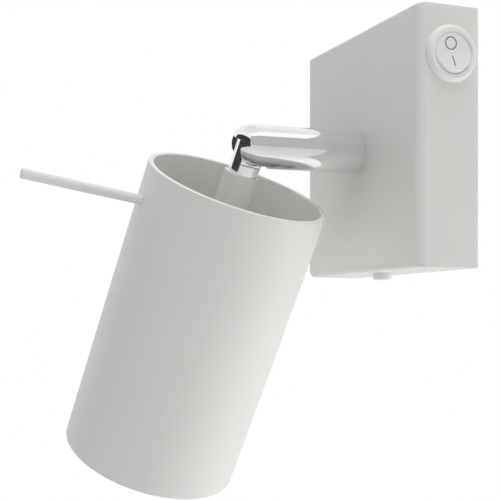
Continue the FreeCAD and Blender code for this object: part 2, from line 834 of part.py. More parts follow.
def lock_nut():
    """Nut under the bridge that draws the stub's collar down on the sleeve."""
    return on_head(nut(nut_across_flats, stub_thread_diameter / 2 + thread_clearance,
                       V(0, 0, -bridge_bottom), V(0, 0, -bridge_bottom - lock_nut_thickness)))


# Lamp holder

def holder_screw_places():
    return [-holder_screw_spacing / 2, holder_screw_spacing / 2]


def holder_spacers():
    rings = []
    for y in holder_screw_places():
        ring = down_rod(holder_spacer_diameter / 2, bridge_bottom, holder_top, y=y)
        hole = down_rod(holder_screw_diameter / 2 + screw_hole_clearance, bridge_bottom, holder_top, y=y)
        rings.append(ring.cut(hole))
    return on_head(Part.makeCompound(rings))


def holder_screws():
    top = bridge_top - holder_screw_head_height
    reach = holder_screw_head_diameter
    half = holder_screw_notch_width / 2
    screws = []
    for y in holder_screw_places():
        head = down_rod(holder_screw_head_diameter / 2, top, bridge_top, y=y)
        shank = down_rod(holder_screw_diameter / 2, bridge_top, holder_top + holder_screw_grip, y=y)
        notch = block(V(-reach, y - half, -top - holder_screw_notch_depth),
                      V(reach, y + half, -top + overrun))
        screws.append(head.fuse(shank).cut(notch))
    return on_head(Part.makeCompound(screws))


def pin_slot(angle_offset):
    """Curved slot in the holder that a lamp pin drops into and turns along."""
    middle = lamp_pin_spacing / 2
    half = lamp_pin_head_diameter / 2 + pin_slot_clearance
    top = holder_bottom - pin_slot_depth
    end = holder_bottom + overrun
    ring = down_rod(middle + half, top, end).cut(down_rod(middle - half, top - overrun, end + overrun))
    sector = Part.makeCylinder(2 * lamp_pin_spacing, end - top, V(0, 0, -end), V(0, 0, 1), lamp_twist)
    sector.rotate(V(0, 0, 0), V(0, 0, 1), angle_offset)
    slot = ring.common(sector)
    for angle in (angle_offset, angle_offset + lamp_twist):
        x = middle * math.cos(math.radians(angle))
        y = middle * math.sin(math.radians(angle))
        slot = slot.fuse(down_rod(half, top, end, x, y))
    return slot.removeSplitter()


def lamp_holder():
    body = down_rod(holder_diameter / 2, holder_top, holder_bottom)
    rim = edges_at(body, lambda p: near(p.z, -holder_top))
    body = body.makeFillet(holder_edge_round, rim)
    screw_hole_end = holder_top + holder_screw_grip + holder_screw_hole_spare
    screw_holes = [down_rod(holder_screw_diameter / 2 + thread_clearance, holder_top, screw_hole_end, y=y)
                   for y in holder_screw_places()]
    wire_holes = [down_rod(holder_wire_hole / 2, holder_top - overrun,
                           holder_top + holder_wire_hole_depth, y=side * head_lead_offset)
                  for side in (-1, 1)]
    return on_head(body.cut([pin_slot(0), pin_slot(180)] + screw_holes + wire_holes))


# Lamp

def lamp_body():
    """Reflector-lamp shell: neck, curved flank and front rim, open at the front."""
    neck = lamp_neck_diameter / 2
    outer = lamp_diameter / 2
    flank_top = lamp_neck_length
    flank_end = lamp_length - lamp_rim_height
    flank_middle = V(0, (neck + outer) / 2 + lamp_flank_bulge,
                     (flank_top + flank_end) / 2 - lamp_flank_bulge_rise)
    edges = [
        Part.makeLine(V(0, 0, 0), V(0, neck, 0)),
        Part.makeLine(V(0, neck, 0), V(0, neck, flank_top)),
        Part.Arc(V(0, neck, flank_top), flank_middle, V(0, outer, flank_end)).toShape(),
        Part.makeLine(V(0, outer, flank_end), V(0, outer, lamp_length)),
        Part.makeLine(V(0, outer, lamp_length), V(0, 0, lamp_length)),
        Part.makeLine(V(0, 0, lamp_length), V(0, 0, 0)),
    ]
    solid = Part.Face(Part.Wire(edges)).revolve(V(0, 0, 0), V(0, 0, 1), 360)
    lens_back = lamp_length - lamp_lens_thickness
    lens_seat = rod(lamp_lens_diameter / 2, V(0, 0, lens_back), V(0, 0, lamp_length + overrun))
    cup_floor = lamp_neck_length + lamp_cup_floor
    cup = Part.makeCone(neck - lamp_shell, lamp_lens_diameter / 2 - lamp_shell, lens_back - cup_floor,
                        V(0, 0, cup_floor), V(0, 0, 1))
    solid = solid.cut([lens_seat, cup])
    return on_head(upside_down_from_lamp_top(solid))


def upside_down_from_lamp_top(shape):
    """Turns a piece drawn upwards from the lamp's back end to point down from it."""
    placed = shape.copy()
    placed.rotate(V(0, 0, 0), V(1, 0, 0), 180)
    placed.translate(V(0, 0, -lamp_top))
    return placed


def lamp_lens():
    disc = rod(lamp_lens_diameter / 2 - running_clearance,
               V(0, 0, lamp_length - lamp_lens_thickness), V(0, 0, lamp_length - lamp_lens_recess))
    return on_head(upside_down_from_lamp_top(disc))


def lamp_pins():
    pins = []
    for side in (-1, 1):
        x = side * lamp_pin_spacing / 2
        neck = down_rod(lamp_pin_diameter / 2, lamp_top - lamp_pin_length, lamp_top, x)
        head = down_rod(lamp_pin_head_diameter / 2, lamp_top - lamp_pin_length,
                        lamp_top - lamp_pin_length + lamp_pin_head_length, x)
        pins.append(neck.fuse(head))
    return on_head(Part.makeCompound(pins))


# Leads

def box_leads():
    """Leads between the terminal block, the switch and the arm's bore."""
    heights = pole_heights()
    depth = -block_wire_depth
    block_side = block_left + block_width - lead_seat_in_block
    live_x = block_left + block_width + 2 * lead_bend
    neutral_x = live_x + lead_gap
    switch_end = box_width / 2 - switch_barrel_length - switch_blade_length
    live_z = switch_height + switch_blade_spacing / 2 + lead_diameter
    switched_z = switch_height - switch_blade_spacing / 2 - lead_diameter
    meet = -(spigot_end - lead_end_gap)
    live = lead([V(block_side, depth, heights[2]), V(live_x, depth, heights[2]),
                 V(live_x, depth, live_z), V(switch_end, depth, live_z)])
    switched = lead([V(switch_end, depth, switched_z), V(0, depth, switched_z),
                     V(0, depth, lead_offset), V(0, meet, lead_offset)])
    neutral = lead([V(block_side, depth, heights[1]), V(neutral_x, depth, heights[1]),
                    V(neutral_x, depth, -lead_offset), V(0, depth, -lead_offset),
                    V(0, meet, -lead_offset)])
    return Part.makeCompound([live, switched, neutral])


def arm_leads():
    joint_end = arm_reach - pocket_radius - lead_end_gap
    leads = [out_rod(lead_diameter / 2, spigot_end, joint_end, z=side * lead_offset)
             for side in (-1, 1)]
    return on_arm(Part.makeCompound(leads))


def head_leads():
    leads = [down_rod(lead_diameter / 2, -stub_top + lead_end_gap, holder_top + lead_seat_in_holder,
                      y=side * head_lead_offset) for side in (-1, 1)]
    return on_head(Part.makeCompound(leads))


pieces = [
    base_cover, rotation_stop, wall_bracket, cable_grommet, cover_screws, terminal_block,
    terminal_tubes, terminal_screws, earth_screw, earth_washer, switch_body, switch_rocker,
    switch_blades, arm, arm_base_ring, arm_bearing_washer, arm_stop_washer, arm_spring_washer,
    arm_nut, hinge_pin, hinge_washers, swivel_stub, stub_sleeve, shade_tube, handle_rod, rear_screw,
    bridge_nuts, holder_bridge, lock_nut, holder_spacers, holder_screws, lamp_holder, lamp_body,
    lamp_lens, lamp_pins, box_leads, arm_leads, head_leads,
]

os.makedirs("parts", exist_ok=True)
for piece in pieces:
    shape = piece()
    if not shape.isValid() or shape.Volume <= 0:
        print("check", piece.__name__, shape.isValid(), shape.Volume)
    shape.exportStep(os.path.join("parts", piece.__name__ + ".step"))
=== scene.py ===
# Pivoting spotlight wall light: finishes, detailed visible pieces, studio and camera.
# Row frame: origin on the wall, -Y out of the wall, +X is the side with the switch, +Z up.
# Shapes are drawn in millimetres in the axes of the part that they sit on, then placed in metres.

import json
import math

import bmesh
import bpy
from mathutils import Matrix, Vector, kdtree


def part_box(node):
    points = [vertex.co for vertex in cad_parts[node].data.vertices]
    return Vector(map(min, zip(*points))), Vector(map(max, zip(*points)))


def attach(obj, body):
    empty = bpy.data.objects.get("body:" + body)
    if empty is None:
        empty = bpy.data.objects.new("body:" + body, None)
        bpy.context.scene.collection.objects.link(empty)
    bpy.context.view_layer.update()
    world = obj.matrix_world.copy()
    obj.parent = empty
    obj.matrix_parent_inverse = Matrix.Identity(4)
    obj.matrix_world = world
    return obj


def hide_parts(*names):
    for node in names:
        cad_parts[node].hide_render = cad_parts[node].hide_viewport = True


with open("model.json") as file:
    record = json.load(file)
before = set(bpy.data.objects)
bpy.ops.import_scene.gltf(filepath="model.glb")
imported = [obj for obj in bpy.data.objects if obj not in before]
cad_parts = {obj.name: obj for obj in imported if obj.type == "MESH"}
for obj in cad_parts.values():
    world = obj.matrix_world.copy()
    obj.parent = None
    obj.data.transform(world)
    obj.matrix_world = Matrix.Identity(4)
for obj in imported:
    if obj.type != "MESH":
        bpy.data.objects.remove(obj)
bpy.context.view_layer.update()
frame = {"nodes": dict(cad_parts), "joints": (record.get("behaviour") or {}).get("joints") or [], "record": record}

MM = 0.001

# How finely curves are divided
ROUND_SIDES = 160
TUBE_SIDES = 240
HEAD_FOOT_SIDES = 480
CORNER_STEPS = 5
EDGE_STEPS = 3
INNER_EDGE_STEPS = 2
FOLD_STEPS = 12
SEAT_STEPS = 12
VALLEY_STEPS = 16
WINDOW_END_STEPS = 24
FLANK_STEPS = 24
BALL_STEPS = 60

# Limits for the mesh work, millimetres unless they say otherwise
SHARP_ANGLE = math.radians(35)
CLEAR = 1.0  # how far a cutting tool reaches past a face, and a measurement stays away from one
ON_AXIS = 1e-6
SHORTEST_EDGE = 1e-4
WELD_METRES = 1e-6
EDGE_MARGIN = 1.5  # widths of a rounded edge that are cleared of points beside it
DOUBLES_PART = 10  # within the margin divided by this, points count as one
ROUND_TOLERANCE = 0.004
BALL_TOLERANCE = 0.012
SAME_DIRECTION = 0.97  # cosine
FLAT_FACE_WEIGHT = 80

# Camera at the photograph's place: metres, degrees, and millimetres of lens and sensor
camera_place = (0.32482, -0.18836, -0.05716)
camera_turn = 67.84
camera_lens = 78.38
camera_sensor = 36.0
camera_shift = (-0.02, 0.1478)

# Wall box and its screws, millimetres
fold_radius = 3.0
cover_edge_round = 0.25
top_front_edge_round = 1.2
bottom_front_edge_round = 2.3
cover_wall = 1.6
hole_gap = 0.05
screw_shank_radius = 2.0
screw_hole_radius = 2.15
screw_head_round = 0.9
screw_foot_round = 0.12
screw_recess = (0.8, 3.8, 1.1)  # width, length, depth
screw_recess_round = 0.08

# Switch, millimetres and degrees
barrel_gap = 0.1
barrel_tool_depth = 6.4
bezel_outer_round = 0.9
bezel_top_round = 0.9
bezel_foot_round = 0.3
bezel_lip_round = 0.12
bezel_rim_height = 0.7
bezel_slope = 0.9
rocker_gap = 0.15
rocker_seat_gap = 0.08
window_lip_depth = 0.45
rocker_pivot_depth = 0.5
rocker_skirt_depth = 4.0
rocker_flush_height = 1.5
rocker_throw = 14.0
rocker_pin_radius = 1.2
rocker_edge_round = 0.1
rocker_valley_radius = 14.0
cavity_depth = 5.6
mark_line = 0.34
mark_height = 0.05
ring_mark_radius = 2.05
ring_mark_place = 2.95
ring_mark_shift = -0.25
bar_mark_length = 3.15
bar_mark_place = 2.6
bar_mark_shift = -0.7

# Arm and ball joint, millimetres
arm_bore_radius = 3.2
arm_shoulder_round = 0.1
slot_roof = 2.7  # height of the slot's closed side over the arm's axis
slot_back = 6.2  # depth of the slot behind the pivot
pocket_radius = 5.8
pin_hole_end = 6.0
pin_shank_radius = 1.25
pin_head_height = 1.0
pin_notch = (0.6, 0.5)  # width, depth
pin_edge_round = 0.12
knuckle_edge_round = 0.16
ring_edge_round = 0.1
ring_bore_radius = 5.0

# Stub and sleeve, millimetres
tongue_end = 5.994  # how far the tongue's flats reach past the pivot
window_width = 4.7
window_length = 7.4
stub_bore_radius = 3.5
thread_radius = 4.95
thread_pitch = 1.0
thread_depth = 0.3
collar_round = 0.2
stub_edge_round = 0.14
sleeve_bore_radius = 5.0
sleeve_recess_radius = 5.45
sleeve_recess_depth = 1.0
sleeve_edge_round = 0.25

# Tube, rod, rear screw and lamp, millimetres
tube_edge_round = 0.45
rod_hole_radius = 1.55
rod_tip_round = 0.4
rod_thread_radius = 1.5
rear_recess = (0.6, 3.0, 1.0)  # width, length, depth
rear_head_gap = 0.05
lamp_neck_radius = 13.5
lamp_neck_length = 9.0
lamp_rim_height = 4.5
lamp_flank_bulge = 4.5
lamp_flank_bulge_rise = 2.0
lamp_shell = 1.2
lamp_cup_floor = 4.0
lamp_edge_round = 0.6
lens_edge_round = 0.25

# Edges of the small inner pieces that keep their own shape, millimetres
inner_edge_round = 0.12

# Floor, metres
floor_half_size = 1.5
floor_height = -0.42
floor_grey = (0.72, 0.72, 0.72)
floor_rough = (0.85, 0.95)
floor_patch_mm = 8.0
floor_glow_seen = 0.45
floor_glow_mirrored = 0.05

# Light of the world. Heights and turns are in degrees, turns from straight out of the wall to the
# switch's side. A pair of limits is where a change begins and ends.
light_below = 0.66
light_above = 0.92
horizon = (-10.0, 8.0)
overhead_limits = (58.0, 70.0)
side_turns = (62.0, 176.0, 4.0)  # from, to, softness
side_bands = ((-6.0, 44.0, 2.0, 0.49), (44.0, 62.0, 1.5, 1.04))  # from, to, softness, strength
screen_half_width = 75.0
screen_height = 47.0
screen_rim = (0.96, 1.04)
screen_right = (61.0, 63.0)
screen_foot = (-14.0, -11.0)
screen_left_soft = 1.0

# The same, each with a value for matt surfaces and one for mirrored light
overhead_light = (1.05, 0.80)
screen_left = (-62.0, -42.0)
screen_light = (0.47, 0.045)

# Noise and node sockets
NOISE_SPAN = (0.3, 0.7)  # where most values of a noise lie
NOISE_ROUGHNESS = 0.55
MIX_NUMBER_INPUTS = (0, 2, 3)
MIX_COLOUR_INPUTS = (0, 6, 7)
MIX_COLOUR_OUTPUT = 2


# Places that shapes are drawn in

def place(origin, x_axis, z_axis):
    """Matrix from local axes to the row frame."""
    x = Vector(x_axis).normalized()
    z = Vector(z_axis).normalized()
    y = z.cross(x)
    axes = Matrix((x, y, z)).transposed().to_4x4()
    return Matrix.Translation(Vector(origin)) @ axes


def joint(name):
    """The frame's entry for a joint."""
    return next(j for j in frame["joints"] if j["name"] == name)


hinge_direction = -Vector(joint("head_tilt")["axis"])
box_place = Matrix.Identity(4)
arm_place = place((0, 0, 0), hinge_direction, (0, -1, 0))
head_place = place(joint("head_tilt")["pos_m"], hinge_direction, joint("lamp_twist")["axis"])
switch_centre = Vector(joint("rocker_press")["pos_m"])
switch_centre.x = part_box("base_cover")[1].x
rocker_axis = Vector(joint("rocker_press")["axis"])
switch_place = place(switch_centre, (1, 0, 0), Vector((1, 0, 0)).cross(rocker_axis))
pivot_reach = -joint("head_tilt")["pos_m"][1] / MM


def local_points(node, where):
    """A CAD node's points in a place's own axes, in millimetres."""
    to_local = where.inverted()
    return [(to_local @ v.co) / MM for v in frame["nodes"][node].data.vertices]


def span(node, where):
    """Lowest and highest corner of a CAD node in a place's own axes, in millimetres."""
    points = local_points(node, where)
    low = Vector(min(p[i] for p in points) for i in range(3))
    high = Vector(max(p[i] for p in points) for i in range(3))
    return low, high


def reach(node, where, low=-math.inf, high=math.inf):
    """Largest distance of a CAD node's points from the local Z axis, between two heights."""
    return max(math.hypot(p.x, p.y) for p in local_points(node, where) if low <= p.z <= high)


def side_reach(node, where, high=math.inf):
    """Largest distance of a CAD node's points from the local X axis, up to a place on that axis."""
    return max(math.hypot(p.y, p.z) for p in local_points(node, where) if p.x <= high)


def least_side_reach(node, where, at):
    """Smallest distance of a CAD node's points from the local X axis, at a place on that axis."""
    return min(math.hypot(p.y, p.z) for p in local_points(node, where) if abs(p.x - at) < hole_gap)


# Outlines

def rounded(corners, steps=CORNER_STEPS, closed=True):
    """Points of an outline whose corners are (x, y, radius)."""
    points = []
    count = len(corners)
    for i, (x, y, radius) in enumerate(corners):
        corner = Vector((x, y))
        if radius == 0 or (not closed and i in (0, count - 1)):
            points.append(corner)
            continue
        before = (Vector(corners[i - 1][:2]) - corner).normalized()
        after = (Vector(corners[(i + 1) % count][:2]) - corner).normalized()
        opening = before.angle(after)
        setback = radius / math.tan(opening / 2)
        middle = corner + (before + after).normalized() * radius / math.sin(opening / 2)
        first = corner + before * setback - middle
        sweep = first.angle_signed(corner + after * setback - middle)
        for step in range(steps + 1):
            turn = -sweep * step / steps
            points.append(middle + Matrix.Rotation(turn, 2) @ first)
    return points


def arc(middle, radius, start, end, steps):
    """Points of an arc, angles in degrees from the first axis."""
    angles = [math.radians(start + (end - start) * i / steps) for i in range(steps + 1)]
    return [Vector((middle[0] + radius * math.cos(a), middle[1] + radius * math.sin(a))) for a in angles]


def arc_through(a, b, c, steps):
    """Points of the arc through three points."""
    aa = a.length_squared
    bb = b.length_squared
    cc = c.length_squared
    twice_area = 2 * (a.x * (b.y - c.y) + b.x * (c.y - a.y) + c.x * (a.y - b.y))
    middle_x = (aa * (b.y - c.y) + bb * (c.y - a.y) + cc * (a.y - b.y)) / twice_area
    middle_y = (aa * (c.x - b.x) + bb * (a.x - c.x) + cc * (b.x - a.x)) / twice_area
    middle = Vector((middle_x, middle_y))
    start = math.degrees(math.atan2(a.y - middle_y, a.x - middle_x))
    end = math.degrees(math.atan2(c.y - middle_y, c.x - middle_x))
    return arc(middle, (a - middle).length, start, end, steps)


# Meshes

def facing_out(bm):
    """Turns a mesh's faces to point out of it."""
    bmesh.ops.recalc_face_normals(bm, faces=bm.faces)
    return bm


def turned(outline, closed=False, sides=ROUND_SIDES):
    """Mesh turned about the local Z axis from (radius, height) points."""
    bm = bmesh.new()
    turns = [2 * math.pi * i / sides for i in range(sides)]
    rings = []
    for radius, height in outline:
        if radius < ON_AXIS:
            rings.append([bm.verts.new((0, 0, height))])
            continue
        rings.append([bm.verts.new((radius * math.cos(a), radius * math.sin(a), height)) for a in turns])
    following = rings[1:] + rings[:1] if closed else rings[1:]
    for low, high in zip(rings, following):
        for i in range(sides):
            j = (i + 1) % sides
            if len(low) == 1:
                bm.faces.new((low[0], high[j], high[i]))
            elif len(high) == 1:
                bm.faces.new((low[i], low[j], high[0]))
            else:
                bm.faces.new((low[i], low[j], high[j], high[i]))
    return facing_out(bm)


def prism(outline, start, end):
    """Mesh of a flat outline drawn in X and Y and drawn out along Z."""
    bm = bmesh.new()
    low = [bm.verts.new((x, y, start)) for x, y in outline]
    high = [bm.verts.new((x, y, end)) for x, y in outline]
    bm.faces.new(low)
    bm.faces.new(high)
    for i in range(len(outline)):
        j = (i + 1) % len(outline)
        bm.faces.new((low[i], low[j], high[j], high[i]))
    return facing_out(bm)


def side_prism(outline, half_length):
    """Mesh of a flat outline drawn in X and -Z and drawn out along Y both ways."""
    bm = prism(outline, -half_length, half_length)
    bmesh.ops.transform(bm, matrix=AXIS_TURNS["y"], verts=bm.verts)
    return bm


def soft_ended_prism(start_points, end_points, start, end):
    """Mesh drawn out along Z from (point, outward direction, radius), each end rounded by its radius."""
    bm = bmesh.new()
    turns = [math.pi / 2 * i / CORNER_STEPS for i in range(CORNER_STEPS + 1)]
    levels = [(start_points, start, 1, turn) for turn in reversed(turns)]
    levels += [(end_points, end, -1, turn) for turn in turns]
    rings = []
    for points, height, inward, turn in levels:
        ring = []
        for point, out, radius in points:
            flat = point - out * radius * (1 - math.cos(turn))
            ring.append(bm.verts.new((flat.x, flat.y, height + inward * radius * (1 - math.sin(turn)))))
        rings.append(ring)
    for low, high in zip(rings, rings[1:]):
        for i in range(len(low)):
            j = (i + 1) % len(low)
            bm.faces.new((low[i], low[j], high[j], high[i]))
    bm.faces.new(rings[0])
    bm.faces.new(rings[-1])
    return facing_out(bm)


def block(low, high):
    """Box between two corners."""
    corners = [(low[0], low[1]), (high[0], low[1]), (high[0], high[1]), (low[0], high[1])]
    return prism([Vector(c) for c in corners], low[2], high[2])


AXIS_TURNS = {
    "x": Matrix.Rotation(math.pi / 2, 4, "Y"),
    "y": Matrix.Rotation(-math.pi / 2, 4, "X"),
    "z": Matrix.Identity(4),
}


def moved(bm, axis="z", at=(0, 0, 0)):
    """Turns a mesh drawn about Z to lie along another axis, and moves it."""
    bmesh.ops.transform(bm, matrix=Matrix.Translation(Vector(at)) @ AXIS_TURNS[axis], verts=bm.verts)
    return bm


def drill(radius, start, end, axis="z", at=(0, 0, 0), sides=ROUND_SIDES):
    """Round bar along a local axis, between two places on it."""
    bar = turned([(0, start), (radius, start), (radius, end), (0, end)], sides=sides)
    return moved(bar, axis, at)


def cross_slots(recess, top):
    """Two crossed slots about Z, from a height down."""
    width, length, depth = recess
    return [block((-x / 2, -y / 2, top - depth), (x / 2, y / 2, top + CLEAR))
            for x, y in ((width, length), (length, width))]


def flat_sided_ball(radius, half_width, at):
    """Ball with its two sides cut flat, square to X."""
    side = math.degrees(math.asin(half_width / radius))
    outline = [Vector((0, -half_width))]
    outline += arc((0, 0), radius, -side, side, BALL_STEPS)
    outline.append(Vector((0, half_width)))
    return moved(turned(outline), "x", at)


# Objects

def as_object(name, bm):
    """Makes an object of a mesh and puts it in the scene."""
    mesh = bpy.data.meshes.new(name)
    bm.to_mesh(mesh)
    bm.free()
    made = bpy.data.objects.new(name, mesh)
    bpy.context.scene.collection.objects.link(made)
    return made


def settled(thing):
    """Replaces an object's mesh by the result of its modifiers."""
    graph = bpy.context.evaluated_depsgraph_get()
    made = bpy.data.meshes.new_from_object(thing.evaluated_get(graph))
    thing.modifiers.clear()
    old = thing.data
    thing.data = made
    bpy.data.meshes.remove(old)


def combined(thing, others, operation="DIFFERENCE"):
    """Cuts or joins meshes with exact booleans."""
    tools = [as_object(thing.name + "_tool", bm) for bm in others]
    for tool in tools:
        step = thing.modifiers.new("cut", "BOOLEAN")
        step.operation = operation
        step.solver = "EXACT"
        step.object = tool
    settled(thing)
    for tool in tools:
        mesh = tool.data
        bpy.data.objects.remove(tool)
        bpy.data.meshes.remove(mesh)
    return thing


def clear_beside_edges(thing, distance):
    """Merges the points of round faces that lie right beside a sharp edge into that edge."""
    bm = bmesh.new()
    bm.from_mesh(thing.data)
    bmesh.ops.remove_doubles(bm, verts=bm.verts, dist=distance / DOUBLES_PART)
    sharp = list({v for e in bm.edges if len(e.link_faces) == 2 and e.calc_face_angle() > SHARP_ANGLE
                  for v in e.verts})
    nearest = kdtree.KDTree(len(sharp))
    for index, vert in enumerate(sharp):
        nearest.insert(vert.co, index)
    nearest.balance()
    on_edge = set(sharp)
    targets = {}
    for vert in bm.verts:
        _, index, apart = nearest.find(vert.co)
        if vert not in on_edge and apart < distance:
            targets[vert] = sharp[index]
    bmesh.ops.weld_verts(bm, targetmap=targets)
    bmesh.ops.dissolve_degenerate(bm, dist=SHORTEST_EDGE, edges=bm.edges)
    facing_out(bm).to_mesh(thing.data)
    bm.free()


def round_edges(thing, width):
    """Rounds the sharp edges."""
    clear_beside_edges(thing, EDGE_MARGIN * width)
    step = thing.modifiers.new("edges", "BEVEL")
    step.width = width
    step.segments = EDGE_STEPS
    step.limit_method = "ANGLE"
    step.angle_limit = SHARP_ANGLE
    step.use_clamp_overlap = False
    settled(thing)


def joined(name, things):
    """One object made of several."""
    bm = bmesh.new()
    for thing in things:
        bm.from_mesh(thing.data)
        mesh = thing.data
        bpy.data.objects.remove(thing)
        bpy.data.meshes.remove(mesh)
    return as_object(name, bm)


def on_cylinder(radius, low, high):
    """Normal of a surface turned about the local Z axis, for points that lie on it."""
    def normal(p):
        out = Vector((p.x, p.y, 0))
        on_it = abs(out.length - radius) < ROUND_TOLERANCE and low <= p.z <= high
        return out.normalized() if on_it else None
    return normal


def on_side_cylinder(radius, height, low, high):
    """Normal of a round bar along the local Y axis at a height, for points that lie on it."""
    def normal(p):
        out = Vector((p.x, 0, p.z - height))
        on_it = abs(out.length - radius) < ROUND_TOLERANCE and low <= p.y <= high
        return out.normalized() if on_it else None
    return normal


def on_ball(radius, centre):
    """Normal of a ball, for points that lie on it."""
    def normal(p):
        out = p - Vector(centre)
        return out.normalized() if abs(out.length - radius) < BALL_TOLERANCE else None
    return normal


def shade(thing, surfaces):
    """Smooth shading, with true normals on the round surfaces that are named."""
    mesh = thing.data
    mesh.shade_smooth()
    mesh.set_sharp_from_angle(angle=SHARP_ANGLE)
    weigh = thing.modifiers.new("flat_faces", "WEIGHTED_NORMAL")
    weigh.keep_sharp = True
    weigh.weight = FLAT_FACE_WEIGHT
    settled(thing)
    if not surfaces:
        return
    mesh = thing.data
    normals = [n.vector.copy() for n in mesh.corner_normals]
    for face in mesh.polygons:
        for corner in face.loop_indices:
            point = mesh.vertices[mesh.loops[corner].vertex_index].co
            for surface in surfaces:
                exact = surface(point)
                if exact is not None and abs(exact.dot(face.normal)) > SAME_DIRECTION:
                    normals[corner] = exact * math.copysign(1, exact.dot(face.normal))
    mesh.normals_split_custom_set(normals)


def put(thing, where, body, material, replaces=(), surfaces=()):
    """Shades a piece, moves it from its local axes to the row frame, and hands it to its body."""
    shade(thing, surfaces)
    thing.data.transform(where @ Matrix.Scale(MM, 4))
    thing.data.materials.clear()
    thing.data.materials.append(material)
    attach(thing, body)
    if replaces:
        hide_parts(*replaces)


# Node trees

class Tree:
    """Short calls for building a node tree."""

    def __init__(self, tree):
        self.tree = tree

    def node(self, kind, **settings):
        made = self.tree.nodes.new(kind)
        for key, value in settings.items():
            setattr(made, key, value)
        return made

    def feed(self, socket, value):
        """Links a socket to another, or gives it a value."""
        if isinstance(value, bpy.types.NodeSocket):
            self.tree.links.new(value, socket)
        else:
            socket.default_value = value

    def math(self, operation, *values):
        made = self.node("ShaderNodeMath", operation=operation)
        for socket, value in zip(made.inputs, values):
            self.feed(socket, value)
        return made.outputs[0]

    def step(self, value, low, high, out_low=0.0, out_high=1.0):
        """Smooth step from one value to another."""
        made = self.node("ShaderNodeMapRange", interpolation_type="SMOOTHSTEP")
        for socket, number in zip(made.inputs, (value, low, high, out_low, out_high)):
            self.feed(socket, number)
        return made.outputs[0]

    def spread(self, value, out_low, out_high):
        """A noise value stretched to a range."""
        made = self.node("ShaderNodeMapRange")
        for socket, number in zip(made.inputs, (value, *NOISE_SPAN, out_low, out_high)):
            self.feed(socket, number)
        return made.outputs[0]

    def band(self, value, low, high, soft):
        """One between two limits and zero outside them."""
        rise = self.step(value, low - soft, low + soft)
        fall = self.step(value, high - soft, high + soft, 1.0, 0.0)
        return self.math("MULTIPLY", rise, fall)

    def mix(self, share, first, second):
        """Colour between two colours."""
        made = self.node("ShaderNodeMix", data_type="RGBA")
        for index, value in zip(MIX_COLOUR_INPUTS, (share, first, second)):
            self.feed(made.inputs[index], value)
        return made.outputs[MIX_COLOUR_OUTPUT]

    def blend(self, share, first, second):
        """Number between two numbers."""
        made = self.node("ShaderNodeMix", data_type="FLOAT")
        for index, value in zip(MIX_NUMBER_INPUTS, (share, first, second)):
            self.feed(made.inputs[index], value)
        return made.outputs[0]

    def noise(self, size_mm, detail=3.0, stretch=(1, 1, 1)):
        """Noise whose lumps are about a size across."""
        where = self.node("ShaderNodeTexCoord").outputs["Object"]
        mapping = self.node("ShaderNodeMapping")
        self.feed(mapping.inputs["Vector"], where)
        self.feed(mapping.inputs["Scale"], tuple(s / (size_mm * MM) for s in stretch))
        made = self.node("ShaderNodeTexNoise")
        self.feed(made.inputs["Vector"], mapping.outputs["Vector"])
        self.feed(made.inputs["Scale"], 1.0)
        self.feed(made.inputs["Detail"], detail)
        self.feed(made.inputs["Roughness"], NOISE_ROUGHNESS)
        return made.outputs[0]

    def bump(self, height, depth_mm, below=None):
        """Normal of a surface raised by a height, over another bump if one is given."""
        made = self.node("ShaderNodeBump")
        self.feed(made.inputs["Height"], height)
        self.feed(made.inputs["Strength"], 1.0)
        self.feed(made.inputs["Distance"], depth_mm * MM)
        if below is not None:
            self.feed(made.inputs["Normal"], below)
        return made.outputs[0]


# Finishes

def colour(*values):
    return (*values, 1.0)


def finish(name, base, shade_of_base, patch_mm, rough, grain_mm, grain_depth_mm, metal=0.0,
           stretch=(1, 1, 1), wave=None, **sockets):
    """Procedural finish: patches of slightly different colour and gloss, over a fine grain.

    A wave is the size and depth, in millimetres, of a wider bump under the grain.
    """
    made = bpy.data.materials.new(name)
    made.use_nodes = True
    tree = Tree(made.node_tree)
    shader = made.node_tree.nodes["Principled BSDF"]
    patches = tree.noise(patch_mm, detail=4.0)
    tree.feed(shader.inputs["Base Color"], tree.mix(tree.spread(patches, 0.0, 1.0), base, shade_of_base))
    grain = tree.noise(grain_mm, detail=5.0, stretch=stretch)
    mixed = tree.blend(0.5, patches, grain)
    tree.feed(shader.inputs["Roughness"], tree.spread(mixed, *rough))
    normal = None
    if wave:
        wave_mm, wave_depth_mm = wave
        normal = tree.bump(tree.noise(wave_mm, detail=1.0), wave_depth_mm)
    tree.feed(shader.inputs["Normal"], tree.bump(grain, grain_depth_mm, normal))
    tree.feed(shader.inputs["Metallic"], metal)
    for label, value in sockets.items():
        tree.feed(shader.inputs[label.replace("_", " ")], value)
    return made


coat_texture = {"patch_mm": 30.0, "rough": (0.40, 0.50), "grain_mm": 0.45, "grain_depth_mm": 0.0035,
                "wave": (2.2, 0.004)}
powder_coat = finish("powder_coat", colour(0.80, 0.803, 0.779), colour(0.78, 0.783, 0.76), **coat_texture)
# Lighter copy of the powder coat for the tube's inner wall: painted light that stands in for the light the shaded
# inside lacks
painted_light_inner_coat = finish("painted_light_inner_coat", colour(0.92, 0.923, 0.898), colour(0.90, 0.903, 0.88), **coat_texture)
bright_chrome = finish("bright_chrome", colour(0.93, 0.93, 0.935), colour(0.90, 0.905, 0.91),
                       patch_mm=9.0, rough=(0.03, 0.07), grain_mm=0.30, grain_depth_mm=0.0003, metal=1.0)
zinc_plate = finish("zinc_plate", colour(0.66, 0.67, 0.69), colour(0.56, 0.57, 0.58),
                    patch_mm=5.0, rough=(0.28, 0.45), grain_mm=0.25, grain_depth_mm=0.003, metal=1.0,
                    stretch=(1, 1, 0.15))
switch_plastic = finish("switch_plastic", colour(0.87, 0.872, 0.857), colour(0.85, 0.852, 0.838),
                        patch_mm=10.0, rough=(0.24, 0.34), grain_mm=0.20, grain_depth_mm=0.0015)
